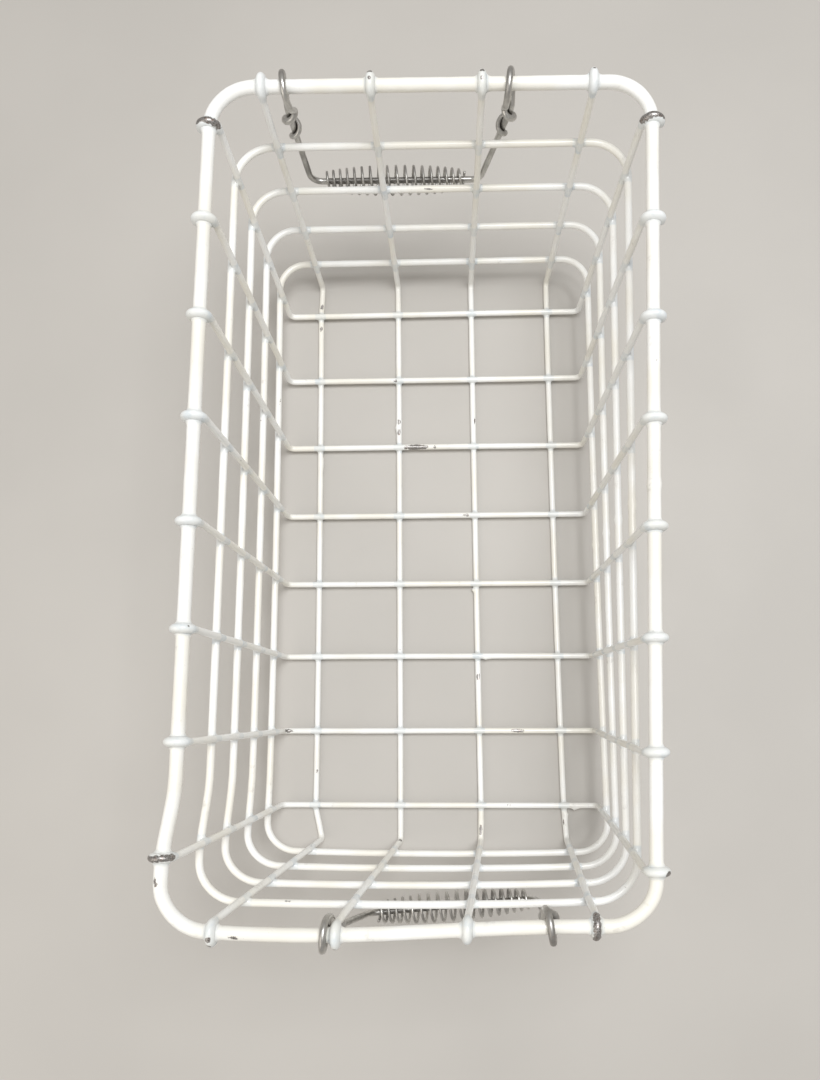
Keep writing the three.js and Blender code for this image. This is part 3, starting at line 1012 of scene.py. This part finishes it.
def gather_coating(wire, wires, stations, close, spokes, radii):
    """How far the coating stands out where it gathers between this wire and its neighbours, and how much
    each vertex is at a crossing, where the coating is thin and a sky reflection is painted, and in a
    crevice, where shade is painted."""
    sizes = bpy.context.scene.basket_sizes
    swell, thin_and_reflection_at_welds, crevice = np.zeros((3, *spokes.shape[:2]))
    neighbours = {}
    for row, index in enumerate(stations):
        for owner, place in close[index]:
            neighbours.setdefault(owner, []).append((row, place))
    for owner, found in neighbours.items():
        other = wires[owner]
        fillet = sizes.hook_fillet if "rim_rod" in (owner, wire.name) else sizes.weld_fillet
        places = sorted({place for _, place in found})
        for group in split_runs(sorted({row for row, _ in found}), ROW_BREAK):
            base = wire.axis[stations[group]]
            reach = np.ptp(base, axis=0).max() + other.radius + CROSSING_REACH * MM
            gaps = np.linalg.norm(other.axis[places] - base.mean(0), axis=1)
            for stretch in split_runs(np.array(places)[gaps < reach], LINE_BREAK):
                first = max(0, stretch[0] - LINE_MARGIN)
                line = other.axis[first : stretch[-1] + LINE_MARGIN + 1 : TREE_STEP]
                ways = spokes[group].reshape(-1, 3)
                starts = (base[:, None, :] + radii[group][:, None, None] * spokes[group]).reshape(-1, 3)
                first_gap = distance_to_line(starts, line) - other.radius
                out = fillet_out(starts, ways, line, other.radius, fillet, swell[group].reshape(-1))
                swell[group] = np.maximum(swell[group], out.reshape(len(group), -1))
                # Painted shade along the crevice where the two wires meet.
                near = np.clip(1 - np.abs(first_gap) / (CREVICE_SHADE_REACH * MM), 0, 1)
                crevice[group] = np.maximum(crevice[group], near.reshape(len(group), -1))
                # Over a crossing the coating is thin, and a sky reflection is painted on it.
                over = np.linalg.norm(base[:, None] - line[None], axis=2).min(1)
                ease = np.clip(1 - (over - wire.radius - other.radius) / (THIN_AND_REFLECTION_REACH * MM), 0, 1)
                thin_and_reflection_at_welds[group] = np.maximum(thin_and_reflection_at_welds[group], ease[:, None])
    return swell, thin_and_reflection_at_welds, crevice


def split_runs(numbers, most):
    """Sorted numbers as runs with no step larger than most."""
    numbers = np.array(numbers, int)
    if not len(numbers):
        return []
    return np.split(numbers, np.where(np.diff(numbers) > most)[0] + 1)


WIRE_SIDES = 20
ROD_SIDES = 28
# A hoop's butt weld: how much thicker it is, in millimetres, and over what reach.
WELD_SWELL = 0.35
WELD_REACH = 2.2
DRIP_SPREAD = 1.3
COATED_TIP_BULGE = 1.15
# Slow changes of a dipped wire's thickness, as (length in metres, share of its radius).
THICKNESS_WAVES = ((0.037, 0.010), (0.013, 0.008), (0.006, 0.005))
# How bare a spot is at its centre, how fast that falls with distance, and where the coating ends.
SPOT_STRENGTH = 1.45
SPOT_FALL = 0.9
CHIP_EDGE = (0.42, 0.6)


def coat_wire(name):
    """Builds one coated wire of the frame, with its fillets, drips, chips and rounded ends."""
    wires = coated_wires()
    wire = wires[name]
    sizes = bpy.context.scene.basket_sizes
    close = near_wires(wire, wires)
    stations = pick_stations(wire, close)
    points = wire.axis[stations]
    frames = turned_frames(points, wire.side, wire.closed)
    spokes = section_spokes(*frames, ROD_SIDES if name == "rim_rod" else WIRE_SIDES)
    rng = own_random(name, DIP_DRAWS)
    reach = stations * AXIS_STEP * MM
    radii = np.full(len(stations), wire.radius)
    for length, share in THICKNESS_WAVES:
        radii *= 1 + share * np.sin(2 * math.pi * reach / length + rng.uniform(0, 2 * math.pi))
    if wire.closed:
        total = len(wire.axis) * AXIS_STEP * MM
        from_weld = np.minimum(reach, total - reach) / (WELD_REACH * MM)
        radii += WELD_SWELL * MM * np.exp(-(from_weld**2))
    swell, thin_and_reflection_at_welds, crevice = gather_coating(wire, wires, stations, close, spokes, radii)
    swell += hanging_drips(wire, stations, spokes, rng, sizes.drip)
    surface = points[:, None, :] + (radii[:, None] + swell)[:, :, None] * spokes
    bare = np.zeros(swell.shape)
    for centre, radius in wear_spots(wire):
        gap = np.linalg.norm(surface - centre, axis=2)
        bare = np.maximum(bare, np.clip(SPOT_STRENGTH - SPOT_FALL * gap / radius, 0, 1))
    swell -= sizes.coat_depth * smooth_step(bare, *CHIP_EDGE)
    vertices, faces = build_tube(points, radii, frames, swell, wire.closed, COATED_TIP_BULGE)
    vertices[:, 2] = np.maximum(vertices[:, 2], 0)
    attributes = {}
    # The crossing values carry the thin coating and painted sky reflection; the crevice values carry
    # painted shade.
    for key, values in (("bare", bare), ("crossing", thin_and_reflection_at_welds), ("crevice", crevice)):
        attributes[key] = (values if wire.closed else capped(values)).ravel()
    finish = shared_finish(coating_finish)
    piece = make_piece(f"coated_{name}", vertices, faces, swell.shape[1], wire.closed, attributes, finish)
    mount_piece(piece, name)


def hanging_drips(wire, stations, spokes, rng, height):
    """Set drips on a wire, where the dip ran down and hardened."""
    swell = np.zeros(spokes.shape[:2])
    drips = []
    for _ in range(STRAY_DRIPS):
        place = wire.axis[rng.integers(len(wire.axis))]
        drips.append((place, rng.uniform(*SIZE_SHARE) * height, (0, 0, -1)))
    for owner, other, shift, size, way in SET_DRIPS:
        if owner == wire.name:
            place, _ = crossing_place(wire, coated_wires()[other], shift)
            drips.append((place, size * MM, way))
    for place, size, way in drips:
        gap = np.linalg.norm(wire.axis[stations] - place, axis=1)
        lump = np.exp(-((gap / (DRIP_SPREAD * MM)) ** 2)) * size
        swell += lump[:, None] * np.clip(spokes @ unit(np.array(way, float)), 0, 1) ** 3
    return swell


# ---- handles and grips


def handle_axis(handle):
    """A handle wire in its own frame: each end runs up the leg, round its eye and back down,
    its tail wound about the leg."""
    snug = gauge("handle_wire") + STRAND_GAP

    def end(side):
        eye_x = side * handle["half_span"]
        top = EYE_RADIUS - EYE_DROP
        bar = side * handle["bar_half"]
        knee = np.array((bar + handle["sway"], handle["bar_lean"] + bar * handle["twist"], -HANDLE_DROP))
        neck = np.array((eye_x, handle["neck_lean"], -EYE_NECK))
        corners = [
            (knee, KNEE_BEND),
            (neck, NECK_BEND),
            corner(eye_x, EYE_RADIUS, -EYE_SHOULDER, EYE_RADIUS),
            corner(eye_x - side * snug / 3, EYE_RADIUS, top, EYE_RADIUS),
            corner(eye_x - side * snug * 2 / 3, -EYE_RADIUS, top, EYE_RADIUS),
            corner(eye_x - side * snug, -EYE_RADIUS, -EYE_SHOULDER, EYE_RADIUS),
        ]
        for share in np.linspace(0, 1, TAIL_STEPS + 1):
            drop = TAIL_START + TAIL_WRAP * share
            leg = neck + (knee - neck) * drop / (HANDLE_DROP - EYE_NECK)
            standoff = snug * (1 - (1 - TAIL_TAPER) * share / 2)
            angle = 2 * math.pi * TAIL_TURNS * share
            swing = (-side * standoff * math.cos(angle), -standoff * math.sin(angle), 0)
            corners.append((leg + swing, 0))
        return corners

    return bend_line(end(-1)[::-1] + end(1))


TURN_STEPS = 40


def coil_axis():
    """A barrel-shaped coil about X, its turns a little closer at the ends."""
    place = np.linspace(-1, 1, GRIP_TURNS * TURN_STEPS + 1)
    angle = math.pi * GRIP_TURNS * (place + 1)
    radius = GRIP_MID_RADIUS + (GRIP_END_RADIUS - GRIP_MID_RADIUS) * place**2
    x = GRIP_HALF * (place + GRIP_END_CROWDING * np.sin(math.pi * place))
    return np.stack([x, radius * np.cos(angle), radius * np.sin(angle)], axis=1)


HANDLE_SIDES = 18
GRIP_SIDES = 10
HANDLE_STEP = 0.6
CUT_END_BULGE = 0.35
# How dark the painted shade is on a handle's bar inside its grip, and how it fades at the grip's ends.
GRIP_SHADE_DEPTH = 0.85
GRIP_SHADE_EDGE = (-0.02, 0.04)
# How near another strand, in radii, the painted crevice shade starts, and how many stations off it counts
# as other.
CREVICE_START = 1.9
OTHER_STRAND = 12


def shade_inside_grip(vertices, start, end, radius):
    """How much painted shade each vertex gets inside a grip, given the grip's ends and radius."""
    run = end - start
    share = (vertices - start) @ run / (run @ run)
    inside = smooth_step(share, *GRIP_SHADE_EDGE) * smooth_step(1 - share, *GRIP_SHADE_EDGE)
    away = np.linalg.norm(vertices - start - share[:, None] * run, axis=1)
    return GRIP_SHADE_DEPTH * inside * (away < radius)


def crevices(points, vertices, sides, radius):
    """How closely each vertex faces another strand of the same wire."""
    tree = search_tree(points)
    found = np.zeros(len(vertices))
    for index, vertex in enumerate(vertices):
        station = min(max(index // sides - CAP_RINGS, 0), len(points) - 1)
        for _, number, distance in tree.find_range(vertex, radius * CREVICE_START):
            if abs(number - station) > OTHER_STRAND:
                depth = 1 - (distance - radius) / (radius * (CREVICE_START - 1))
                found[index] = max(found[index], depth)
    return np.clip(found, 0, 1)


def bare_wire(name, points, radius, sides, taper=0.0, grip_shade_span=None):
    """A bare steel wire, its ends drawn down over the taper's length, with its drawn length and
    angle kept for the streaks."""
    run = travelled(points)
    radii = np.full(len(points), radius)
    if taper:
        from_end = np.minimum(run, run[-1] - run)
        radii *= TAIL_TAPER + (1 - TAIL_TAPER) * np.clip(from_end / taper, 0, 1)
    plain = np.zeros((len(points), sides))
    vertices, faces = build_tube(points, radii, carried_frames(points), plain, False, CUT_END_BULGE)
    angles = np.abs(np.arange(sides) / sides * 2 - 1) * radius * math.pi
    # Painted shade where strands of the wire lie close, and on the bar inside the grip.
    strand_and_grip_shade = crevices(points, vertices, sides, radius)
    if grip_shade_span:
        strand_and_grip_shade = np.maximum(strand_and_grip_shade, shade_inside_grip(vertices, *grip_shade_span))
    attributes = {
        "along": np.repeat(capped(run), sides),
        "around": np.tile(angles, len(vertices) // sides),
        "crevice": strand_and_grip_shade,
    }
    return make_piece(name, vertices, faces, sides, False, attributes, shared_finish(steel_finish))


def handle_place(end):
    """The turn and the place of a handle's own frame."""
    joints = {joint["name"]: joint for joint in frame["joints"]}
    turn = Matrix.Rotation(HANDLES[end]["turn"], 3, "Z")
    return np.array(turn), np.array(joints[f"{end}_handle_swing"]["pos_m"])


def grip_points(end, local):
    """Points of a grip's own frame, set on its bar."""
    turn, place = handle_place(end)
    handle = HANDLES[end]
    lean = np.array(Matrix.Rotation(math.atan(handle["twist"]), 3, "Z"))
    hung = local @ lean.T + (handle["sway"], handle["bar_lean"], -HANDLE_DROP)
    return hung * MM @ turn.T + place


def build_handle(end):
    turn, place = handle_place(end)
    points = resample(handle_axis(HANDLES[end]), HANDLE_STEP) * MM @ turn.T + place
    start, stop = grip_points(end, np.array([(-GRIP_HALF, 0, 0), (GRIP_HALF, 0, 0)]))
    # The stretch of bar inside the grip, where shade is painted.
    grip_shade_span = (start, stop, GRIP_MID_RADIUS * MM)
    radius = gauge("handle_wire") / 2 * MM
    piece = bare_wire(f"{end}_drop_handle", points, radius, HANDLE_SIDES, TAPER_LENGTH * MM, grip_shade_span)
    mount_piece(piece, f"{end}_handle")


def build_grip(end):
    radius = gauge("grip_wire") / 2 * MM
    piece = bare_wire(f"{end}_barrel_grip", grip_points(end, coil_axis()), radius, GRIP_SIDES)
    mount_piece(piece, f"{end}_grip_coil")


# ---- stage


def add_light(name, place, size, power, tint):
    data = bpy.data.lights.new(name, "AREA")
    data.shape = "DISK"
    data.size = size
    data.energy = power
    data.color = tint
    lamp = bpy.data.objects.new(name, data)
    lamp.location = place
    lamp.rotation_mode = "QUATERNION"
    lamp.rotation_quaternion = (Vector(LIT_POINT) - Vector(place)).to_track_quat("-Z", "Y")
    bpy.context.scene.collection.objects.link(lamp)


STAGE_HALF = 3.0
STAGE_DROP = 0.0002
SKY_TINT = (1.0, 0.97, 0.93, 1.0)
LIT_POINT = (0, 0, 0.08)
CLIP_START = 0.01


def build_stage():
    scene = bpy.context.scene
    stage = scene.basket_stage
    mesh = bpy.data.meshes.new("stage_floor")
    corners = [(x * STAGE_HALF, y * STAGE_HALF, 0) for x, y in ((-1, -1), (1, -1), (1, 1), (-1, 1))]
    mesh.from_pydata(corners, [], [(0, 1, 2, 3)])
    mesh.materials.append(floor_finish(scene.basket_finish))
    floor = bpy.data.objects.new("stage_floor", mesh)
    floor.location.z = -STAGE_DROP
    scene.collection.objects.link(floor)

    world = bpy.data.worlds.new("studio")
    world.use_nodes = True
    sky = world.node_tree.nodes["Background"]
    sky.inputs["Color"].default_value = SKY_TINT
    sky.inputs["Strength"].default_value = stage.sky
    scene.world = world
    scene.view_settings.view_transform = "Standard"

    add_light("key", (0.3, 0.2, 1.55), 0.8, stage.key_power, (0.98, 0.99, 1.0))
    add_light("fill", (-0.9, -0.6, 0.8), 1.2, stage.fill_power, (1.0, 0.93, 0.84))

    data = bpy.data.cameras.new("camera")
    data.lens = stage.lens
    data.shift_x, data.shift_y = stage.shift
    data.clip_start = CLIP_START
    camera = bpy.data.objects.new("camera", data)
    turn = Matrix.Rotation(stage.heading, 4, "Z") @ Matrix.Rotation(stage.tilt, 4, "X")
    turn = turn @ Matrix.Rotation(stage.roll, 4, "Y")
    camera.matrix_world = Matrix.Translation(Vector(stage.position) + Vector(origin_shift())) @ turn
    scene.collection.objects.link(camera)
    scene.camera = camera


# ---- operators


class BASKET_OT_stage(bpy.types.Operator):
    """Adds the floor, the lights and the camera"""

    bl_idname = "basket.stage"
    bl_label = "Stage"

    def execute(self, context):
        build_stage()
        return {"FINISHED"}


class BASKET_OT_rim(bpy.types.Operator):
    """Builds the thick rim rod"""

    bl_idname = "basket.rim"
    bl_label = "Rim rod"

    def execute(self, context):
        coat_wire("rim_rod")
        return {"FINISHED"}


class BASKET_OT_rings(bpy.types.Operator):
    """Builds the ring wires round the walls"""

    bl_idname = "basket.rings"
    bl_label = "Side rings"

    def execute(self, context):
        for number in range(RING_COUNT):
            coat_wire(f"side_ring_{number + 1}")
        return {"FINISHED"}


class BASKET_OT_cross_wires(bpy.types.Operator):
    """Builds the wires that cross the floor and climb the long walls"""

    bl_idname = "basket.cross_wires"
    bl_label = "Cross wires"

    def execute(self, context):
        for number in range(len(CROSS_FLOOR_PLACES)):
            coat_wire(f"cross_wire_{number + 1}")
        return {"FINISHED"}


class BASKET_OT_long_wires(bpy.types.Operator):
    """Builds the wires that run the basket's length and climb the end walls"""

    bl_idname = "basket.long_wires"
    bl_label = "Long wires"

    def execute(self, context):
        for number in range(len(LONG_FLOOR_PLACES)):
            coat_wire(f"long_wire_{number + 1}")
        return {"FINISHED"}


class BASKET_OT_handles(bpy.types.Operator):
    """Builds the two drop handles"""

    bl_idname = "basket.handles"
    bl_label = "Drop handles"

    def execute(self, context):
        for end in HANDLES:
            build_handle(end)
        return {"FINISHED"}


class BASKET_OT_grips(bpy.types.Operator):
    """Builds the two barrel-shaped coil grips"""

    bl_idname = "basket.grips"
    bl_label = "Coil grips"

    def execute(self, context):
        for end in HANDLES:
            build_grip(end)
        return {"FINISHED"}


class BASKET_PT_panel(bpy.types.Panel):
    """The basket's pieces, sizes and colours"""

    bl_label = "Wire Basket"
    bl_idname = "BASKET_PT_panel"
    bl_space_type = "VIEW_3D"
    bl_region_type = "UI"
    bl_category = "Basket"

    def draw(self, context):
        layout = self.layout
        for operator in OPERATORS:
            layout.operator(operator.bl_idname)
        for group in ("basket_sizes", "basket_finish", "basket_stage"):
            settings = getattr(context.scene, group)
            box = layout.box()
            for name in settings.__annotations__:
                box.prop(settings, name)


GROUPS = {"basket_sizes": BasketSizes, "basket_finish": BasketFinish, "basket_stage": BasketStage}
OPERATORS = (
    BASKET_OT_stage,
    BASKET_OT_rim,
    BASKET_OT_rings,
    BASKET_OT_cross_wires,
    BASKET_OT_long_wires,
    BASKET_OT_handles,
    BASKET_OT_grips,
)


def register():
    for group in GROUPS.values():
        bpy.utils.register_class(group)
    for operator in OPERATORS:
        bpy.utils.register_class(operator)
    bpy.utils.register_class(BASKET_PT_panel)
    for name, group in GROUPS.items():
        setattr(bpy.types.Scene, name, bpy.props.PointerProperty(type=group))


def unregister():
    for name in GROUPS:
        delattr(bpy.types.Scene, name)
    bpy.utils.unregister_class(BASKET_PT_panel)
    for operator in reversed(OPERATORS):
        bpy.utils.unregister_class(operator)
    for group in reversed(GROUPS.values()):
        bpy.utils.unregister_class(group)


def main():
    register()
    bpy.ops.basket.stage()
    bpy.ops.basket.rim()
    bpy.ops.basket.rings()
    bpy.ops.basket.cross_wires()
    bpy.ops.basket.long_wires()
    bpy.ops.basket.handles()
    bpy.ops.basket.grips()


if __name__ == "__main__":
    main()
